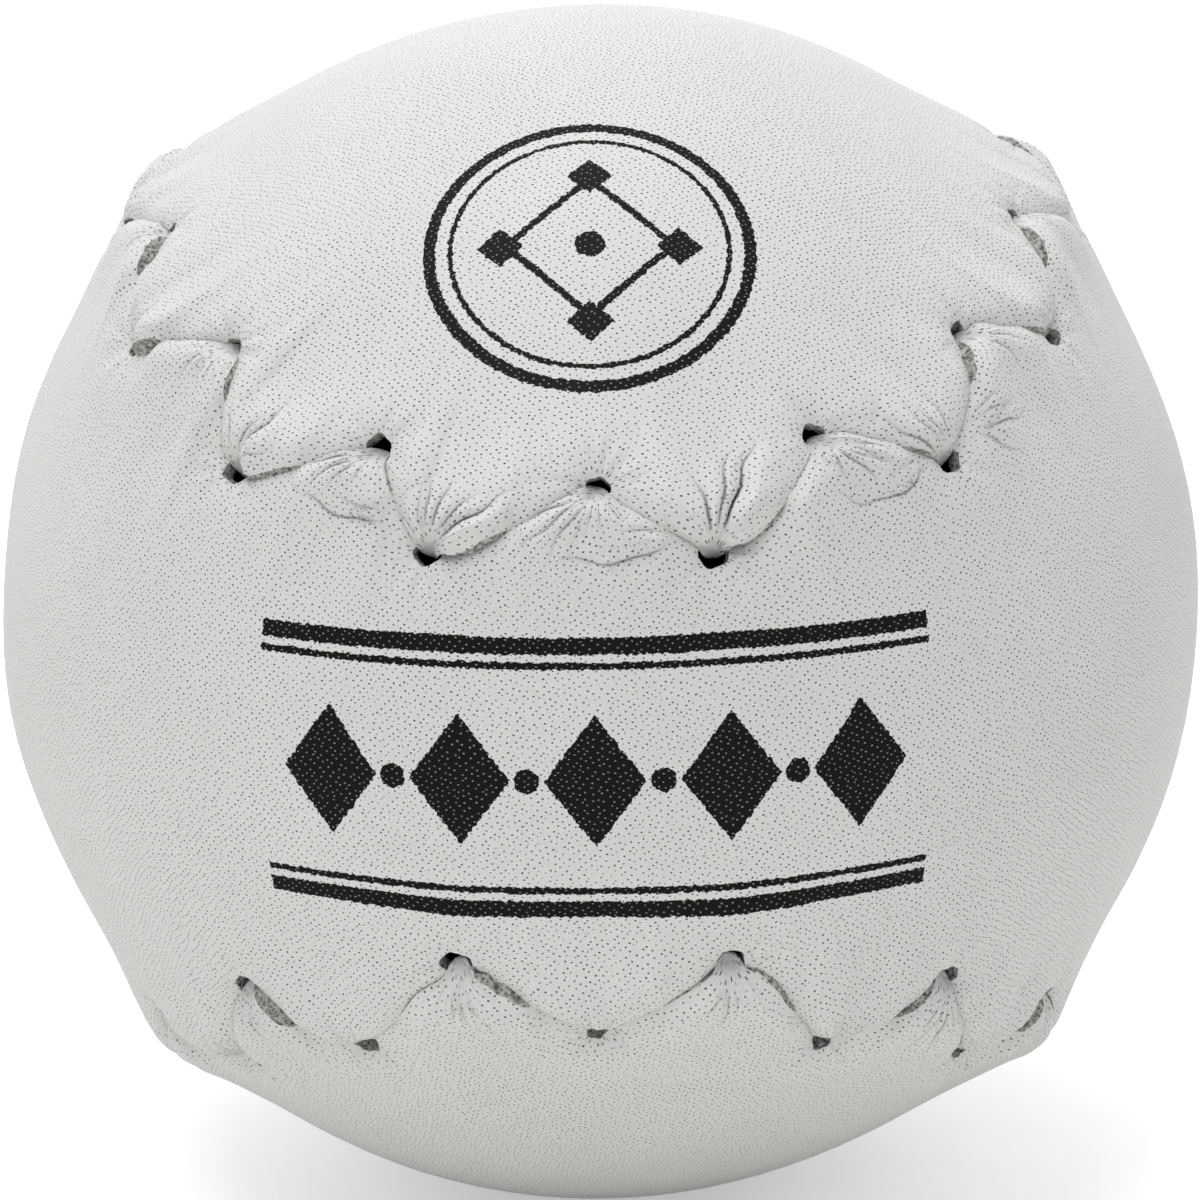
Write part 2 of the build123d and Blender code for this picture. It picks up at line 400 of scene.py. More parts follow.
# How the panels lie over each other along the seam
RIDGE_HALF, RIDGE_ROUND, RIDGE_LEAN = 12.8, 1.3, 0.35
CLOSED_STEP, OPEN_STEP = 0.15, 0.5
SWELL_START, SWELL_REACH = 0.9, 4.8
TOP_SWELL, TOP_LIFT, TOP_ROLL = 0.8, 1.8, 0.7
BED_SWELL, BED_ROLL = 0.3, 1.2
UNDERLAP_DROP, UNDERLAP_RUN = 0.1, 1.3

# How a tab's tip dips into its hole, and how the leather puckers round it
TIP_SPAN, FAN_SPAN = 10, 8
HOLLOW_DEEP, HOLLOW_WIDE = 0.6, 2.3
TIP_BACK, TIP_PULL = 0.1, 2.0
NOSE_HALF, NOSE_OVER, NOSE_RUN = 0.95, 0.55, 2.1
PUCKER_HEIGHT, PUCKER_OFF, PUCKER_WIDE = 0.085, 2.3, 1.3
RIM_DEEP, RIM_WIDE = 0.22, 0.3
FAN_TURN, FAN_CLEAR = 0.5, 0.5
# Painted shade in the groove where the closed panels meet: its strength and how soon it fades from
# the line
SEAM_SHADE, SEAM_SHADE_WIDE = 0.6, 0.15


def nose(slip):
    """A tab's blunt end, as wide as the hole that it goes into."""
    return np.exp(-((slip / NOSE_HALF) ** 4))


def base_rise(across, edge):
    """The ridge that both panels make where they lie over each other."""
    off_crest = np.sqrt((across - RIDGE_LEAN * edge) ** 2 + RIDGE_ROUND**2)
    reach_down = np.clip(RIDGE_HALF - off_crest, 0, None)
    return BALL_RADIUS * (1 / np.cos(reach_down / BALL_RADIUS) - 1)


def panel_rise(way, along, inward):
    """The outer face of one panel: its rise, its distance from a crease, that crease and the
    painted shade in the groove where the panels meet.

    inward is measured across the seam, and it is negative inside the panel."""
    edge = way * at(along, edge_line)
    step = at(along, edge_step)
    roll = at(along, edge_roll)
    no_crease = np.full_like(along, NO_CREASE)
    lines = np.stack([no_crease, no_crease, np.zeros_like(along)])
    lean = 1 / np.sqrt(1 + at(along, edge_slope) ** 2)
    inside = (edge - inward) * lean
    on_top = lies_on_top(edge)
    rise = base_rise(inward, edge)

    # A tab is full behind its edge, and both panels roll down to the line where they meet
    shown = np.clip(inside, 0, None)
    hidden = np.clip(-inside, 0, None)
    closed = 1 - np.clip((step - CLOSED_STEP) / OPEN_STEP, 0, 1)
    swell = (1 - np.exp(-((shown / SWELL_START) ** 1.4))) * bell(shown, SWELL_REACH)
    as_top = 0.5 * step * bell(shown, TOP_LIFT) + TOP_SWELL * swell
    as_top = as_top - roll * closed * fade(shown, TOP_ROLL)
    as_bed = -0.5 * step * fade(shown, BED_ROLL) + BED_SWELL * swell
    as_bed = as_bed - roll * closed * fade(shown, BED_ROLL)
    as_bed -= (UNDERLAP_DROP + LEATHER * ease(hidden / UNDERLAP_RUN)) * ease(hidden / 0.1)
    rise = rise + on_top * as_top + (1 - on_top) * as_bed

    for number in tab_number:
        gap = wrapped(along - tab_place[number])
        near = np.abs(gap) < TIP_SPAN
        if not near.any():
            continue
        own = tab_way[number] == way
        beside = gap[near]
        beyond = inward[near] * (1 if own else -1)
        part = rise[near]
        marks = lines[:, near]
        slip = beside - tabs["hole_slip"][number]
        from_hole = np.hypot(slip, beyond - hole_across[number])
        part -= HOLLOW_DEEP * bell(from_hole, HOLLOW_WIDE)
        if own:
            reach = tabs["reach"][number]
            ahead = reach - TIP_BACK - beyond
            aside = beside - tabs["hole_slip"][number] * bell(ahead, TIP_PULL)
            distance = np.hypot(aside, ahead)
            bearing = np.arctan2(aside, ahead)
            creased(part, marks, distance, bearing, tip_creases[number])
            down = np.clip(1 - (reach + NOSE_OVER - beyond) / NOSE_RUN, 0, 1)
            part -= tabs["dip"][number] * nose(slip) * down**2
        else:
            outward = np.arctan2(slip, beyond - hole_across[number])
            count, phase = pucker_sets[number]
            folds = np.cos(count * outward + phase[0])
            folds = folds + 0.6 * np.cos((count + 3) * outward + phase[1])
            ring = bell(from_hole - PUCKER_OFF, PUCKER_WIDE) * ease((beyond - 2.0) / 2.0)
            part += PUCKER_HEIGHT * folds * ring
            rim = np.clip(from_hole - tabs["hole"][number], 0, None)
            part -= RIM_DEEP * fade(rim, RIM_WIDE)
        rise[near] = part
        lines[:, near] = marks

    # Fine fans run into the bed from the sides of the other panel's tabs
    for number, after, share, fan in side_creases:
        if tab_way[number] == way:
            continue
        shoulder = tabs["shoulder_after" if after > 0 else "shoulder_before"][number]
        start = tab_place[number] + after * (shoulder + 4 * share)
        gap = wrapped(along - start) * after
        near = (np.abs(gap) < FAN_SPAN) & (inside > 0.1)
        if not near.any():
            continue
        ahead = way * at(start, edge_line) - inward[near]
        beside = gap[near]
        part = rise[near]
        marks = lines[:, near]
        bearing = np.arctan2(beside, ahead) - FAN_TURN
        creased(part, marks, np.hypot(beside, ahead), bearing, fan, clear=FAN_CLEAR)
        rise[near] = part
        lines[:, near] = marks

    points = on_ball(along, way * inward, np.zeros_like(along))
    rise += QUICK_HEIGHT * rippled(points, quick_ripples) * bell(inward, QUICK_REACH)
    rise += SLOW_HEIGHT * rippled(points, slow_ripples)
    beside, next_beside, strength = lines
    crease = strength * ease((next_beside - np.abs(beside) - 0.2) / 0.4)
    # Painted shade: darker where the closed panels roll down into the groove between them
    painted_shade = np.clip(SEAM_SHADE * roll * fade(shown, SEAM_SHADE_WIDE) * closed, 0, 1)
    return rise, beside, crease, painted_shade


# One panel is a grid along the seam, closest at the tabs and at its edge, with a coarser middle
COLUMNS_A_TAB = 40
COLUMNS_DRAWN_IN = 0.55
ROWS = 44
ROW_GROWTH = 1.036
INNER_ROWS = 27
BORDER = 13.0
HOLE_COLUMNS = 8
HOLE_ROWS = 4
FILL_RINGS = (0.9, 2.0)
FILL_GAP = 2.6
SHARP_EDGE = radians(58)

# The leather's thickness at a cut edge and in the bed, and how the cut edge splays and tears
EDGE_THIN, EDGE_FULL = 0.15, 1.6
BED_THIN, BED_THICKENS, BED_FULL = 0.7, 0.5, 1.5
SKIN_LEAST = 0.3
SPLAY, TEAR = 0.7, 0.08

# On the flat hide the rear panel lies well clear of the front panel. Its map's unit is 100 mm.
REAR_HIDE = 300
HIDE_UNIT = 100

# How far the holes take in the hide, and how far their fine wrinkles run, less strongly in the bed
TAKEN_IN, TAKEN_FROM = 1.7, 9
WRINKLE_REACH, WRINKLE_IN_BED = 3.4, 0.35

step_share = np.arange(COLUMNS_A_TAB) / COLUMNS_A_TAB
step_share = step_share - COLUMNS_DRAWN_IN * np.sin(2 * pi * step_share) / (2 * pi)
next_place = np.append(tab_place[1:], tab_place[0] + SEAM_LENGTH)
column_place = (tab_place[:, None] + (next_place - tab_place)[:, None] * step_share).ravel()
row_share = ROW_GROWTH ** np.arange(ROWS) - 1
row_share /= row_share[-1]


def flat_hide(points, way):
    """Places on the hide, unrolled to a flat map in millimetres."""
    x, y, z = (points / np.linalg.norm(points, axis=-1, keepdims=True)).T
    if way > 0:
        return BALL_RADIUS * np.stack([np.arctan2(x, -y), np.arcsin(z)], -1)
    return BALL_RADIUS * np.stack([np.arctan2(z, y), np.arcsin(x)], -1)


def from_hide(flat, way):
    """Places on the ball from the flat map."""
    lon, lat = (flat / BALL_RADIUS).T
    near, far, up = np.cos(lat) * np.sin(lon), np.cos(lat) * np.cos(lon), np.sin(lat)
    if way > 0:
        return BALL_RADIUS * np.stack([near, -far, up], -1)
    return BALL_RADIUS * np.stack([up, far, near], -1)


def gathered(hide, way):
    """The hide drawn in to the holes: its pores run together and lengthen towards them."""
    drawn = hide.copy()
    holes = on_ball(hole_place, tab_way * hole_across, np.zeros(TAB_COUNT))
    for hole in flat_hide(holes, way):
        off = hide - hole
        distance = np.maximum(np.linalg.norm(off, axis=1), 0.3)
        taken = (np.hypot(distance, TAKEN_IN) - distance) * (1 - ease(distance / TAKEN_FROM))
        drawn += off * (taken / distance)[:, None]
    return drawn


def pull_map(way, along, inward):
    """Each place's bearing and distance from the nearest hole, and how hard it is drawn there."""
    bearing = np.zeros_like(along)
    distance = np.full_like(along, FAR_AWAY)
    hard = np.zeros_like(along)
    for number in tab_number:
        own = tab_way[number] == way
        slip = wrapped(along - hole_place[number])
        outward = -inward - hole_across[number]
        if own:
            outward = hole_across[number] - inward
        away = np.hypot(slip, outward)
        turn = np.arctan2(slip, outward)
        share = 1 if own else WRINKLE_IN_BED * ease((np.abs(turn) - 0.45) / 0.7)
        draw = bell(away, WRINKLE_REACH) * share * draw_strength[number]
        draw = draw * ease((away - 0.6) / 1.6)
        nearer = away < distance
        bearing = np.where(nearer, turn + 3.1 * number, bearing)
        hard = np.where(nearer, draw, hard)
        distance = np.where(nearer, away, distance)
    return bearing, distance, hard


def inside_loop(flat, loop):
    """Which flat points lie inside a closed loop."""
    inside = np.zeros(len(flat), bool)
    for start, end in zip(loop, np.roll(loop, -1, 0)):
        crossed = (start[1] > flat[:, 1]) != (end[1] > flat[:, 1])
        rise = end[1] - start[1]
        if rise == 0:
            continue
        meets = start[0] + (flat[:, 1] - start[1]) / rise * (end[0] - start[0])
        inside ^= crossed & (flat[:, 0] < meets)
    return inside


def cut_panel(name, way):
    """One panel of the cover: a closed skin of leather with tabs and punched holes."""
    columns = TAB_COUNT * COLUMNS_A_TAB
    edge = way * at(column_place, edge_line)
    rim = edge + (1 - lies_on_top(edge)) * at(column_place, tuck)
    for number in tab_number[tab_way == way]:
        rim += NOSE_OVER * nose(wrapped(column_place - hole_place[number]))
    inward = rim[None, :] - (rim + BORDER)[None, :] * row_share[:, None]
    along = np.repeat(column_place[None, :], ROWS, 0)

    # The rows and columns part round each punched hole
    punched = np.zeros((ROWS, columns), bool)
    ring_columns = np.arange(-3 * HOLE_COLUMNS, 3 * HOLE_COLUMNS + 1)
    for number in tab_number[tab_way != way]:
        middle_column = number * COLUMNS_A_TAB
        middle_row = np.argmin(np.abs(inward[:, middle_column] + hole_across[number]))
        rows = np.arange(max(0, middle_row - 3 * HOLE_ROWS), middle_row + 3 * HOLE_ROWS + 1)
        picked = np.ix_(rows, (middle_column + ring_columns) % columns)
        a, b = np.meshgrid(ring_columns / HOLE_COLUMNS, (rows - middle_row) / HOLE_ROWS)
        square = np.maximum(np.abs(a), np.abs(b))
        bearing = np.arctan2(b, a)
        ragged = 1 + 0.08 * np.cos(2 * bearing + number) + 0.06 * np.cos(5 * bearing + 2 * number)
        out = np.where(square < 1, square, 1 + 0.75 * (square - 1))
        reach = tabs["hole"][number] * ragged * out
        pull = 1 - ease((square - 1) / 1.6)
        ring_along = hole_place[number] + reach * np.cos(bearing)
        ring_inward = -hole_across[number] - reach * np.sin(bearing)
        here = tab_place[number] + wrapped(along[picked] - tab_place[number])
        along[picked] = here + pull * (ring_along - here)
        inward[picked] += pull * (ring_inward - inward[picked])
        punched[picked] |= square < 0.99

    rise, beside, crease, painted_shade = panel_rise(way, along, inward)
    edge = way * at(along, edge_line)
    step = at(along, edge_step)
    on_top = lies_on_top(edge)
    depth = np.clip(edge - inward, 0, None)
    cut_edge = np.maximum(step, EDGE_THIN)
    thick_top = cut_edge + (LEATHER - cut_edge) * ease(depth / EDGE_FULL)
    thick_bed = BED_THIN + BED_THICKENS * ease((rim[None, :] - inward) / BED_FULL)
    thick = on_top * thick_top + (1 - on_top) * thick_bed

    outer = on_ball(along, way * inward, rise)
    lower = np.maximum(rise - thick, np.minimum(COVER_INSIDE, rise - SKIN_LEAST))
    splay = SPLAY * on_top[0] * step[0]
    inner_across = inward[:INNER_ROWS].copy()
    inner_across[0] += splay
    inner_across[1] += 0.5 * splay
    inner = on_ball(along[:INNER_ROWS], way * inner_across, lower[:INNER_ROWS])
    lip = 0.5 * (outer[0] + inner[0])
    lip += TEAR * step[0][:, None] * chance.normal(0, 1, (columns, 3))

    points = []
    faces = []
    kinds = []

    def lay(block):
        start = sum(len(part) for part in points)
        points.append(block.reshape(-1, 3))
        return start + np.arange(block.reshape(-1, 3).shape[0]).reshape(block.shape[:-1])

    def sew(quads, kind):
        quads = np.asarray(quads)
        if way < 0:
            quads = quads[:, ::-1]
        faces.extend(quads.tolist())
        kinds.extend([kind] * len(quads))

    def grid_faces(ids, skip, kind, turned):
        right = np.roll(ids, -1, 1)
        quads = np.stack([ids[:-1], ids[1:], right[1:], right[:-1]], -1)
        skip_right = np.roll(skip, -1, 1)
        keep = ~(skip[:-1] | skip[1:] | skip_right[:-1] | skip_right[1:])
        quads = quads[keep]
        sew(quads[:, ::-1] if turned else quads, kind)
        return keep

    # The outside, the flesh side and the cut edge between them
    outer_ids = lay(outer)
    inner_ids = lay(inner)
    lip_ids = lay(lip)
    kept = grid_faces(outer_ids, punched, 0, False)
    grid_faces(inner_ids, punched[:INNER_ROWS], 1, True)
    next_lip = np.roll(lip_ids, -1)
    sew(np.stack([lip_ids, outer_ids[0], np.roll(outer_ids[0], -1), next_lip], -1), 1)
    sew(np.stack([inner_ids[0], lip_ids, next_lip, np.roll(inner_ids[0], -1)], -1), 1)

    # Walls of the punched holes
    for row, column in np.argwhere(~kept):
        after = (column + 1) % columns
        for start, end, neighbour in (
            ((row, column), (row, after), (row - 1, column)),
            ((row + 1, after), (row + 1, column), (row + 1, column)),
            ((row + 1, column), (row, column), (row, column - 1)),
            ((row, after), (row + 1, after), (row, after)),
        ):
            if kept[neighbour[0], neighbour[1] % columns]:
                sew([[outer_ids[start], outer_ids[end], inner_ids[end], inner_ids[start]]], 1)

    def fill(ids, border, low, kind, turned):
        """The middle of the panel, from the last row of its border inwards."""
        for extra in FILL_RINGS:
            half = np.arange(0, len(ids), 2)
            place = column_place[:: columns // len(ids)][half]
            across = np.full(len(half), -(border + extra))
            flat_rise = panel_rise(way, place, across)[0] - low
            ring = lay(on_ball(place, way * across, flat_rise))
            a, b, c = ids[half], ids[half + 1], ids[(half + 2) % len(ids)]
            follow = np.roll(ring, -1)
            strips = ((a, ring, b), (b, ring, follow), (b, follow, c))
            triangles = np.concatenate([np.stack(strip, -1) for strip in strips])
            sew(triangles[:, ::-1] if turned else triangles, kind)
            ids = ring
        loop = flat_hide(np.concatenate(points)[ids], way)
        span = np.arange(-170, 170, FILL_GAP)
        lattice = np.stack(np.meshgrid(span, np.arange(-60, 60, FILL_GAP * 0.87)), -1)
        lattice[1::2, :, 0] += FILL_GAP / 2
        lattice = lattice.reshape(-1, 2)
        lattice = lattice[inside_loop(lattice, loop)]
        room = np.array([np.min(np.sum((loop - spot) ** 2, 1)) for spot in lattice])
        lattice = lattice[room > (0.7 * FILL_GAP) ** 2]
        spots = [Vector(spot) for spot in np.concatenate([loop, lattice])]
        result = delaunay_2d_cdt(spots, [], [list(range(len(loop)))], 1, 1e-6)
        middle = from_hide(lattice, way)
        middle *= 1 + (SLOW_HEIGHT * rippled(middle, slow_ripples)[:, None] - low) / BALL_RADIUS
        known = np.concatenate([ids, lay(middle)])
        source = [origin[0] for origin in result[3]]
        triangles = np.array([[known[source[corner]] for corner in face] for face in result[2]])
        first, second, third = np.moveaxis(np.concatenate(points)[triangles], 1, 0)
        facing = np.einsum("ij,ij->i", np.cross(second - first, third - first), first)
        wrong = (facing < 0) != turned
        triangles[wrong] = triangles[wrong][:, ::-1]
        sew(triangles[:, ::-1] if way < 0 else triangles, kind)

    fill(outer_ids[-1], BORDER, 0, 0, False)
    fill(inner_ids[-1], -inward[INNER_ROWS - 1].min(), LEATHER, 1, True)

    corners = np.concatenate(points)
    mesh = bpy.data.meshes.new(name)
    mesh.from_pydata((corners * MM).tolist(), [], faces)
    mesh.update()
    mesh.polygons.foreach_set("material_index", kinds)
    mesh.polygons.foreach_set("use_smooth", [True] * len(faces))

    # Maps for the leather: the flat hide, the pull of the holes, the creases and the painted shade
    # in the seam's groove
    hide = gathered(flat_hide(corners, way), way)
    if way < 0:
        hide = hide[:, ::-1] + (REAR_HIDE, 0)
    bearing, distance, hard = pull_map(way, along, inward)
    pull = np.zeros((len(corners), 2))
    pull[: along.size] = np.stack([bearing.ravel(), distance.ravel()], -1)
    loops = np.empty(len(mesh.loops), int)
    mesh.loops.foreach_get("vertex_index", loops)
    mesh.uv_layers.new(name="hide").data.foreach_set("uv", (hide[loops] / HIDE_UNIT).ravel())
    mesh.uv_layers.new(name="pull").data.foreach_set("uv", pull[loops].ravel())
    for title, grid, elsewhere in (
        ("drawn", hard, 0),
        ("painted_shade", painted_shade, 0),
        ("beside_crease", beside, NO_CREASE),
        ("crease", crease, 0),
    ):
        values = np.full(len(corners), elsewhere, float)
        values[: grid.size] = grid.ravel()
        mesh.attributes.new(title, "FLOAT", "POINT").data.foreach_set("value", values)
    mesh.set_sharp_from_angle(angle=SHARP_EDGE)
    panel = bpy.data.objects.new(name, mesh)
    bpy.context.scene.collection.objects.link(panel)
    return panel


def colour(code):
    """An sRGB hex value as a linear colour."""
    parts = [int(code[i : i + 2], 16) / 255 for i in (1, 3, 5)]
    return [p / 12.92 if p <= 0.04045 else ((p + 0.055) / 1.055) ** 2.4 for p in parts] + [1]


def node(tree, kind, links=None, **settings):
    """Adds one node. Settings are its own or its sockets' values, by name or as i with a number.

    Links come from other nodes."""
    made = tree.nodes.new(kind)
    for key, value in settings.items():
        if hasattr(made, key):
            setattr(made, key, value)
        else:
            socket = int(key[1:]) if key[1:].isdigit() else key.replace("_", " ")
            made.inputs[socket].default_value = value
    for socket, source in (links or {}).items():
        tree.links.new(source, made.inputs[socket])
    return made


def new_material(name):
    material = bpy.data.materials.new(name)
    material.use_nodes = True
    tree = material.node_tree
    tree.nodes.clear()
    return material, tree


def finish_material(tree, shader):
    node(tree, "ShaderNodeOutputMaterial", {"Surface": shader.outputs[0]})


# Plain ornaments in black ink, in millimetres on the hide: shape, origin, middle, half width and
# height, line
BAND = (0, 0)
UPPER_LOBE = (REAR_HIDE, 113)
INFIELD = 6.4
BASE = (1.7, 1.7)
RULE = 25.0
DIAMOND_PITCH = 9.6
ORNAMENTS = [
    ("round", UPPER_LOBE, (0, 0), (12.0, 12.0), 0.9),
    ("round", UPPER_LOBE, (0, 0), (10.2, 10.2), 0.4),
    ("diamond", UPPER_LOBE, (0, 0), (INFIELD, INFIELD), 0.8),
    ("round", UPPER_LOBE, (0, 0), (1.1, 1.1), 0),
]
for side in (-1, 1):
    ORNAMENTS += [
        ("diamond", UPPER_LOBE, (INFIELD * side, 0), BASE, 0),
        ("diamond", UPPER_LOBE, (0, INFIELD * side), BASE, 0),
        ("bar", BAND, (0, 9.6 * side), (RULE, 0.6), 0),
        ("bar", BAND, (0, 8.2 * side), (RULE, 0.25), 0),
    ]
for step in (-2, -1, 0, 1, 2):
    ORNAMENTS.append(("diamond", BAND, (DIAMOND_PITCH * step, 0), (3.6, 4.8), 0))
for step in (-1.5, -0.5, 0.5, 1.5):
    ORNAMENTS.append(("round", BAND, (DIAMOND_PITCH * step, 0), (0.9, 0.9), 0))

# The ink's edge strays by up to this much to either side
INK_STRAY = 0.2


def stamped(tree, hide):
    """Where the ornaments' ink lies on the hide."""
    stray = INK_STRAY / HIDE_UNIT
    ragged = node(tree, "ShaderNodeTexNoise", {"Vector": hide}, noise_dimensions="2D",
                  Scale=260.0, Detail=2.0)
    place = node(tree, "ShaderNodeVectorMath", {0: ragged.outputs["Color"], 2: hide},
                 operation="MULTIPLY_ADD", i1=(2 * stray, 2 * stray, 0.0)).outputs[0]

    def filled(shape, middle, half):
        off = node(tree, "ShaderNodeVectorMath", {0: place}, operation="SUBTRACT",
                   i1=(middle[0] / HIDE_UNIT + stray, middle[1] / HIDE_UNIT + stray, 0))
        scaled = node(tree, "ShaderNodeVectorMath", {0: off.outputs[0]}, operation="DIVIDE",
                      i1=(half[0] / HIDE_UNIT, half[1] / HIDE_UNIT, 1)).outputs[0]
        if shape == "round":
            size = node(tree, "ShaderNodeVectorMath", {0: scaled},
                        operation="LENGTH").outputs["Value"]
        else:
            plain = node(tree, "ShaderNodeVectorMath", {0: scaled},
                         operation="ABSOLUTE").outputs[0]
            if shape == "diamond":
                size = node(tree, "ShaderNodeVectorMath", {0: plain}, operation="DOT_PRODUCT",
                            i1=(1, 1, 0)).outputs["Value"]
            else:
                sides = node(tree, "ShaderNodeSeparateXYZ", {0: plain}).outputs
                size = node(tree, "ShaderNodeMath", {0: sides[0], 1: sides[1]},
                            operation="MAXIMUM").outputs[0]
        return node(tree, "ShaderNodeMath", {0: size}, operation="LESS_THAN", i1=1.0).outputs[0]

    ink = None
    for shape, origin, middle, half, line in ORNAMENTS:
        centre = (origin[0] + middle[0], origin[1] + middle[1])
        mark = filled(shape, centre, half)
        if line:
            inside = filled(shape, centre, (half[0] - line, half[1] - line))
            mark = node(tree, "ShaderNodeMath", {0: mark, 1: inside},
                        operation="SUBTRACT").outputs[0]
        if ink is not None:
            mark = node(tree, "ShaderNodeMath", {0: ink, 1: mark}, operation="MAXIMUM").outputs[0]
        ink = mark
    return ink


def white_leather():
    """Chrome-tanned hide with a white pigment coat, plated flat: its pores show as dark pinpricks,
    their pits darkened in colour as painted shade.

    The Mix nodes' colours are their sockets 6 and 7, and their result is output 2."""
    material, tree = new_material("white_pigmented_leather")
    hide = node(tree, "ShaderNodeUVMap", uv_map="hide").outputs[0]
    sway = node(tree, "ShaderNodeTexNoise", {"Vector": hide}, noise_dimensions="2D",
                Scale=14.0, Detail=2.0)
    swayed = node(tree, "ShaderNodeVectorMath", {0: sway.outputs["Color"], 2: hide},
                  operation="MULTIPLY_ADD", i1=(0.012, 0.012, 0.0))
    # Hair pores 0.4 by 0.53 mm apart and about 0.13 mm across, in loose rows
    rows = node(tree, "ShaderNodeMapping", {"Vector": swayed.outputs[0]},
                Rotation=(0, 0, radians(38)), Scale=(190.0, 252.0, 1.0))
    pores = node(tree, "ShaderNodeTexVoronoi", {"Vector": rows.outputs[0]},
                 voronoi_dimensions="2D", feature="F1", Scale=1.0, Randomness=0.5)
    pore = node(tree, "ShaderNodeMapRange", {"Value": pores.outputs["Distance"]},
                interpolation_type="SMOOTHSTEP", i1=0.07, i2=0.22, i3=1.0, i4=0.0)
    chosen_pore = node(tree, "ShaderNodeSeparateColor", {0: pores.outputs["Color"]})
    weight = node(tree, "ShaderNodeMapRange", {"Value": chosen_pore.outputs[0]},
                  i1=0.0, i2=1.0, i3=0.5, i4=1.0)
    pitted = node(tree, "ShaderNodeMath", {0: pore.outputs[0], 1: weight.outputs[0]},
                  operation="MULTIPLY")
    blotch = node(tree, "ShaderNodeTexNoise", {"Vector": hide}, noise_dimensions="2D",
                  Scale=6.0, Detail=4.0)
    coat = node(tree, "ShaderNodeMix", {"Factor": blotch.outputs[0]}, data_type="RGBA",
                i6=colour("#d9d9d7"), i7=colour("#e3e3e1"))
    # Painted highlight: a lighter ring round each pore stands for the lit rims of the pits
    rim = node(tree, "ShaderNodeMapRange", {"Value": pores.outputs["Distance"]},
               i1=0.2, i2=0.46, i3=0.5, i4=0.0)
    pore_rim_highlight = node(tree, "ShaderNodeMix", {"Factor": rim.outputs[0], 6: coat.outputs[2]},
                  data_type="RGBA", i7=colour("#f6f6f4"))
    # Painted shade: each pore's pit is darkened towards #50504d
    shade = node(tree, "ShaderNodeMix", {"Factor": pitted.outputs[0], 6: pore_rim_highlight.outputs[2]},
                 data_type="RGBA", i7=colour("#50504d"))
    # Stamped ink misses the pores, so they show through it as pale points
    missed = node(tree, "ShaderNodeMapRange", {"Value": pitted.outputs[0]},
                  i1=0.25, i2=0.6, i3=1.0, i4=0.15)
    ink = node(tree, "ShaderNodeMath", {0: stamped(tree, hide), 1: missed.outputs[0]},
               operation="MULTIPLY")
    inked = node(tree, "ShaderNodeMix", {"Factor": ink.outputs[0], 6: shade.outputs[2]},
                 data_type="RGBA", i7=colour("#0d0d0e"))
    # Hair-fine wrinkles run to the holes, where the thread draws the leather in
    pull = node(tree, "ShaderNodeUVMap", uv_map="pull").outputs[0]
    spread = node(tree, "ShaderNodeMapping", {"Vector": pull}, Scale=(4.6, 0.14, 1.0))
    pleats = node(tree, "ShaderNodeTexNoise", {"Vector": spread.outputs[0]},
                  noise_dimensions="2D", Scale=1.0, Detail=1.5, Distortion=0.25)
    off_line = node(tree, "ShaderNodeMath", {0: pleats.outputs[0]}, operation="SUBTRACT", i1=0.5)
    beside = node(tree, "ShaderNodeMath", {0: off_line.outputs[0]}, operation="ABSOLUTE")
    wrinkle = node(tree, "ShaderNodeMapRange", {"Value": beside.outputs[0]},
                   i1=0.0, i2=0.07, i3=1.0, i4=0.0)
    drawn = node(tree, "ShaderNodeAttribute", attribute_name="drawn").outputs["Fac"]
    line = node(tree, "ShaderNodeMath", {0: wrinkle.outputs[0], 1: drawn}, operation="MULTIPLY")
    # Each crease is pressed to a sharp line, and within 0.13 mm of it the colour is darkened as
    # painted shade in the fold
    beside_crease = node(tree, "ShaderNodeAttribute", attribute_name="beside_crease")
    crease = node(tree, "ShaderNodeAttribute", attribute_name="crease").outputs["Fac"]
    off_crease = node(tree, "ShaderNodeMath", {0: beside_crease.outputs["Fac"]},
                      operation="ABSOLUTE")
    pressed = node(tree, "ShaderNodeMapRange", {"Value": off_crease.outputs[0]},
                   interpolation_type="SMOOTHSTEP", i1=0.0, i2=0.13, i3=1.0, i4=0.0)
    sharp = node(tree, "ShaderNodeMath", {0: pressed.outputs[0], 1: crease}, operation="MULTIPLY")
    seam_shade = node(tree, "ShaderNodeAttribute", attribute_name="painted_shade").outputs["Fac"]
    # Painted shade: the wrinkle lines, the creases' sharp lines and the seam's groove darken the
    # colour towards #5a5a58
    painted_shade_sum = node(tree, "ShaderNodeMath", {0: line.outputs[0], 2: seam_shade},
                operation="MULTIPLY_ADD", i1=0.3)
    painted_shade_sum = node(tree, "ShaderNodeMath", {0: sharp.outputs[0], 2: painted_shade_sum.outputs[0]},
                operation="MULTIPLY_ADD", i1=2.0)
    painted_shade = node(tree, "ShaderNodeMath", {0: painted_shade_sum.outputs[0]}, operation="MULTIPLY", i1=0.45)
    with_painted_shade = node(tree, "ShaderNodeMix", {"Factor": painted_shade.outputs[0], 6: inked.outputs[2]},
                  data_type="RGBA", i7=colour("#5a5a58"))
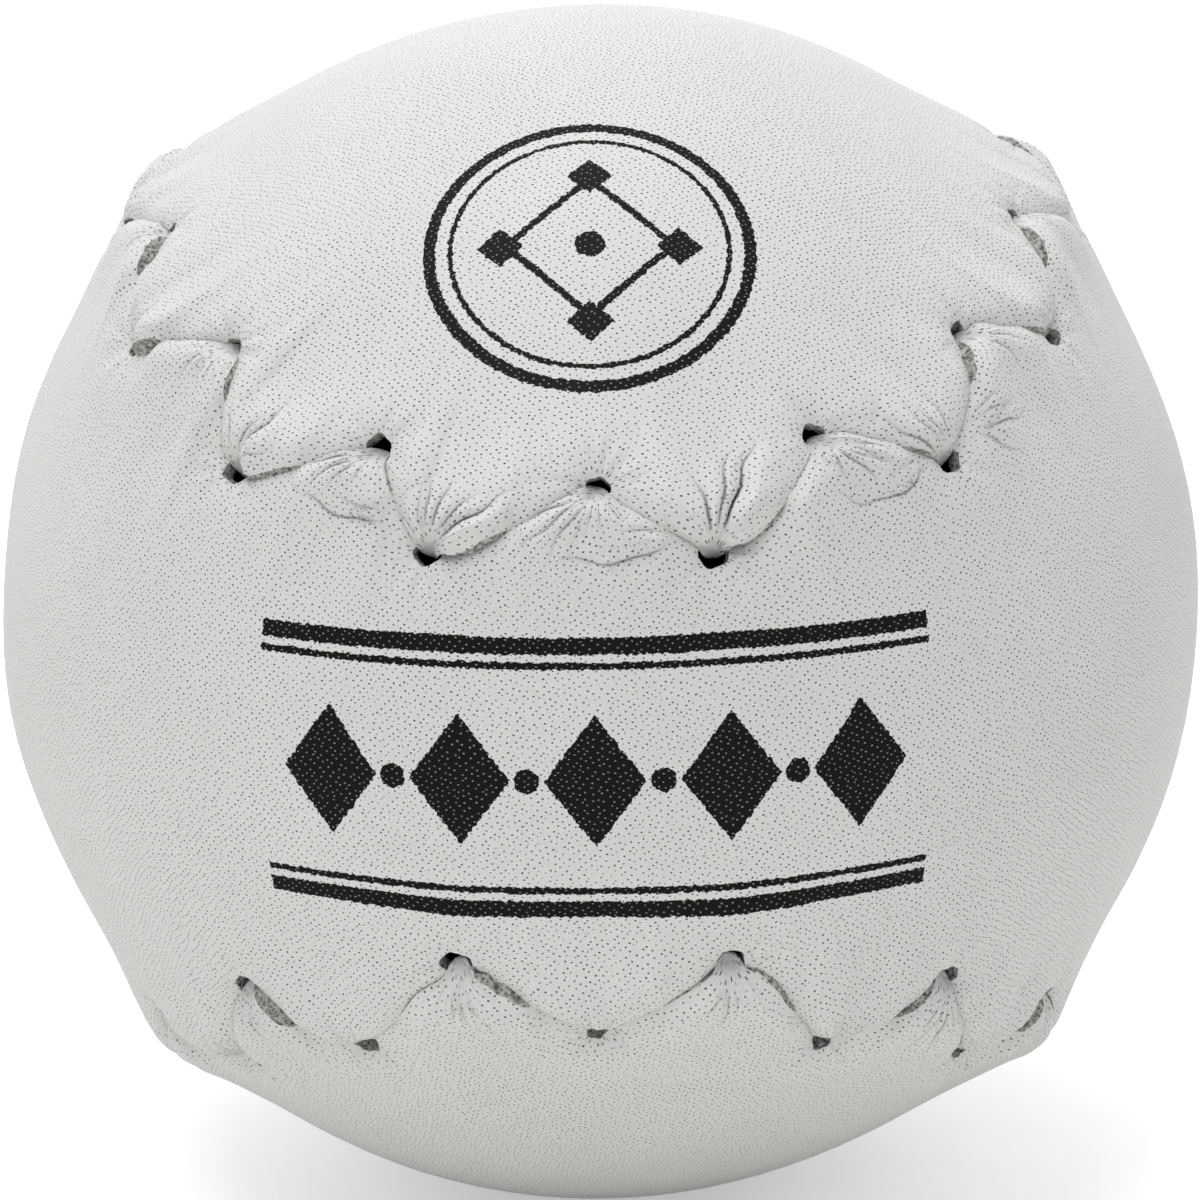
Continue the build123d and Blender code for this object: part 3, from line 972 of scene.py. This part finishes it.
    # The relief, in hundredths of a millimetre: fine grain, pores, wrinkles, creases and pleats
    fine = node(tree, "ShaderNodeTexNoise", {"Vector": hide}, noise_dimensions="2D",
                Scale=420.0, Detail=3.0)
    swell = node(tree, "ShaderNodeMath", {0: pleats.outputs[0], 1: drawn}, operation="MULTIPLY")
    height = fine
    for relief, deep in ((pitted, -10.0), (line, -6.0), (sharp, -14.0), (swell, 60.0)):
        height = node(tree, "ShaderNodeMath", {0: relief.outputs[0], 2: height.outputs[0]},
                      operation="MULTIPLY_ADD", i1=deep)
    bump = node(tree, "ShaderNodeBump", {"Height": height.outputs[0]},
                Strength=1.0, Distance=0.00001)
    # The ink dries matt
    gloss = node(tree, "ShaderNodeMapRange", {"Value": ink.outputs[0]},
                 i1=0.0, i2=1.0, i3=0.5, i4=0.12)
    shader = node(tree, "ShaderNodeBsdfPrincipled",
                  {"Base Color": with_painted_shade.outputs[2], "Normal": bump.outputs[0],
                   "Specular IOR Level": gloss.outputs[0]},
                  Roughness=0.55, IOR=1.46)
    finish_material(tree, shader)
    return material


def raw_edge():
    """The cut edge and flesh side of the hide: grey chrome-tanned fibre, matt and torn."""
    material, tree = new_material("chrome_tanned_flesh")
    place = node(tree, "ShaderNodeTexCoord").outputs["Object"]
    # Tufts of fibre 0.3 mm across
    fibre = node(tree, "ShaderNodeTexNoise", {"Vector": place},
                 Scale=3200.0, Detail=4.0, Roughness=0.7)
    tone = node(tree, "ShaderNodeValToRGB", {"Fac": fibre.outputs[0]})
    shadow, light = tone.color_ramp.elements
    shadow.position, shadow.color = 0.38, colour("#4a4a49")
    light.position, light.color = 0.6, colour("#c6c6c2")
    bump = node(tree, "ShaderNodeBump", {"Height": fibre.outputs[0]},
                Strength=0.8, Distance=0.0002)
    shader = node(tree, "ShaderNodeBsdfPrincipled",
                  {"Base Color": tone.outputs[0], "Normal": bump.outputs[0]},
                  Roughness=0.95, IOR=1.45)
    finish_material(tree, shader)
    return material


def fibrous(name, dark, pale, per_metre, stretch, roughness, rise):
    """An inner layer of fibre, yarn or dried cement, with its strands lying along one way."""
    material, tree = new_material(name)
    place = node(tree, "ShaderNodeTexCoord").outputs["Object"]
    lain = node(tree, "ShaderNodeMapping", {"Vector": place}, Scale=stretch)
    strand = node(tree, "ShaderNodeTexNoise", {"Vector": lain.outputs[0]},
                  Scale=per_metre, Detail=4.0)
    tone = node(tree, "ShaderNodeValToRGB", {"Fac": strand.outputs[0]})
    shadow, light = tone.color_ramp.elements
    shadow.position, shadow.color = 0.35, colour(dark)
    light.position, light.color = 0.65, colour(pale)
    bump = node(tree, "ShaderNodeBump", {"Height": strand.outputs[0]}, Strength=0.7, Distance=rise)
    shader = node(tree, "ShaderNodeBsdfPrincipled",
                  {"Base Color": tone.outputs[0], "Normal": bump.outputs[0]}, Roughness=roughness)
    finish_material(tree, shader)
    return material


leather = white_leather()
flesh = raw_edge()

# Kapok is pressed to a felt and the thread is waxed. The yarn, soaked in cement, is painted near
# black beyond the cement's own brown, as painted shade inside the holes
cement = ("#6a5c40", "#8d7c58", 300, (1, 1, 1), 0.4, 0.0001)
waxed_linen = ("#3b352b", "#5b5241", 2500, (1, 1, 4), 0.5, 0.0001)
inner_finishes = {
    "kapok_core": fibrous("moulded_kapok", "#8f7a54", "#c4ad80", 900, (1, 1, 3), 0.95, 0.0004),
    # Painted shade: the winding is near black so that the holes read dark
    "elastic_winding": fibrous("yarn_painted_dark_as_shade", "#17150f", "#3a342a", 700, (1, 1, 6),
                               0.85, 0.0003),
    "front_cement": fibrous("dried_cement", *cement),
    "rear_cement": fibrous("dried_cement_rear", *cement),
    "seam_lace": fibrous("waxed_linen_lace", *waxed_linen),
    "lace_knot": fibrous("waxed_linen_knot", *waxed_linen),
}
for name, finish in inner_finishes.items():
    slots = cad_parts[name].data.materials
    slots.clear()
    slots.append(finish)

for name, way in (("front_panel", 1), ("rear_panel", -1)):
    panel = cut_panel(name.replace("panel", "leather"), way)
    panel.data.materials.append(leather)
    panel.data.materials.append(flesh)
    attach(panel, "root")
    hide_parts(name)

# Floor, light and camera
FLOOR_HALF = 3
FLOOR_HEIGHT = -(BALL_RADIUS + 0.1) * MM
FLOOR_GLOW = (0.38, 0.38, 0.38, 1)
WHITE = (1, 1, 1, 1)
floor_mesh = bpy.data.meshes.new("floor")
floor_corners = [(x * FLOOR_HALF, y * FLOOR_HALF, FLOOR_HEIGHT)
                 for x, y in ((-1, -1), (1, -1), (1, 1), (-1, 1))]
floor_mesh.from_pydata(floor_corners, [], [(0, 1, 2, 3)])
floor = bpy.data.objects.new("floor", floor_mesh)
bpy.context.scene.collection.objects.link(floor)
paper, tree = new_material("white_backdrop_paper")
path = node(tree, "ShaderNodeLightPath")
lit = node(tree, "ShaderNodeBsdfPrincipled",
           {"Emission Strength": path.outputs["Is Camera Ray"]}, Roughness=0.9,
           Base_Color=colour("#f4f4f3"), Emission_Color=FLOOR_GLOW)
finish_material(tree, lit)
floor_mesh.materials.append(paper)

world = bpy.data.worlds.new("studio")
bpy.context.scene.world = world
world.use_nodes = True
world.node_tree.nodes.clear()
# The tent is brighter behind the ball than where the viewer stands
sky_tree = world.node_tree
aim = node(sky_tree, "ShaderNodeTexCoord")
parts = node(sky_tree, "ShaderNodeSeparateXYZ", {0: aim.outputs["Generated"]})
glow = node(sky_tree, "ShaderNodeMapRange", {"Value": parts.outputs["Y"]},
            i1=-1.0, i2=1.0, i3=0.1, i4=1.25)
sky = node(sky_tree, "ShaderNodeBackground", {"Strength": glow.outputs[0]}, Color=WHITE)
white = node(sky_tree, "ShaderNodeBackground", Color=WHITE, Strength=1.0)
seen = node(sky_tree, "ShaderNodeLightPath").outputs
direct = node(sky_tree, "ShaderNodeMath", {0: seen["Is Camera Ray"], 1: seen["Is Glossy Ray"]},
              operation="MAXIMUM")
direct = node(sky_tree, "ShaderNodeMath",
              {0: direct.outputs[0], 1: seen["Is Transmission Ray"]}, operation="MAXIMUM")
both = node(sky_tree, "ShaderNodeMixShader",
            {0: direct.outputs[0], 1: sky.outputs[0], 2: white.outputs[0]})
node(sky_tree, "ShaderNodeOutputWorld", {"Surface": both.outputs[0]})


def softbox(name, place, size, power):
    """A soft lamp that faces the ball, with its place and size in metres."""
    lamp = bpy.data.lights.new(name, "AREA")
    lamp.shape = "RECTANGLE"
    lamp.size, lamp.size_y = size
    lamp.energy = power
    box = bpy.data.objects.new(name, lamp)
    box.location = place
    box.rotation_euler = (-Vector(place)).to_track_quat("-Z", "Y").to_euler()
    box.visible_camera = False
    bpy.context.scene.collection.objects.link(box)


softbox("top_softbox", (-0.06, 0.05, 0.7), (0.5, 0.5), 1.45)
softbox("front_softbox", (-0.14, -0.34, 0.62), (0.25, 0.25), 1.35)
softbox("floor_card", (0, -0.14, -0.044), (0.3, 0.05), 0.028)

VIEW_DISTANCE = 0.300
VIEW_HEIGHT, VIEW_TURN, VIEW_ROLL = radians(15.1), radians(0.6), radians(0.85)
FOCAL_LENGTH, SENSOR_WIDTH = 109.5, 36
back = Vector((
    sin(VIEW_TURN) * cos(VIEW_HEIGHT), -cos(VIEW_TURN) * cos(VIEW_HEIGHT), sin(VIEW_HEIGHT)
))
lens_data = bpy.data.cameras.new("camera")
lens_data.lens = FOCAL_LENGTH
lens_data.sensor_width = SENSOR_WIDTH
lens_data.clip_start = 0.01
camera = bpy.data.objects.new("camera", lens_data)
camera.matrix_world = (
    Matrix.Translation(back * VIEW_DISTANCE)
    @ back.to_track_quat("Z", "Y").to_matrix().to_4x4()
    @ Matrix.Rotation(-VIEW_ROLL, 4, "Z")
)
bpy.context.scene.collection.objects.link(camera)
bpy.context.scene.camera = camera
bpy.context.scene.view_settings.view_transform = "Standard"
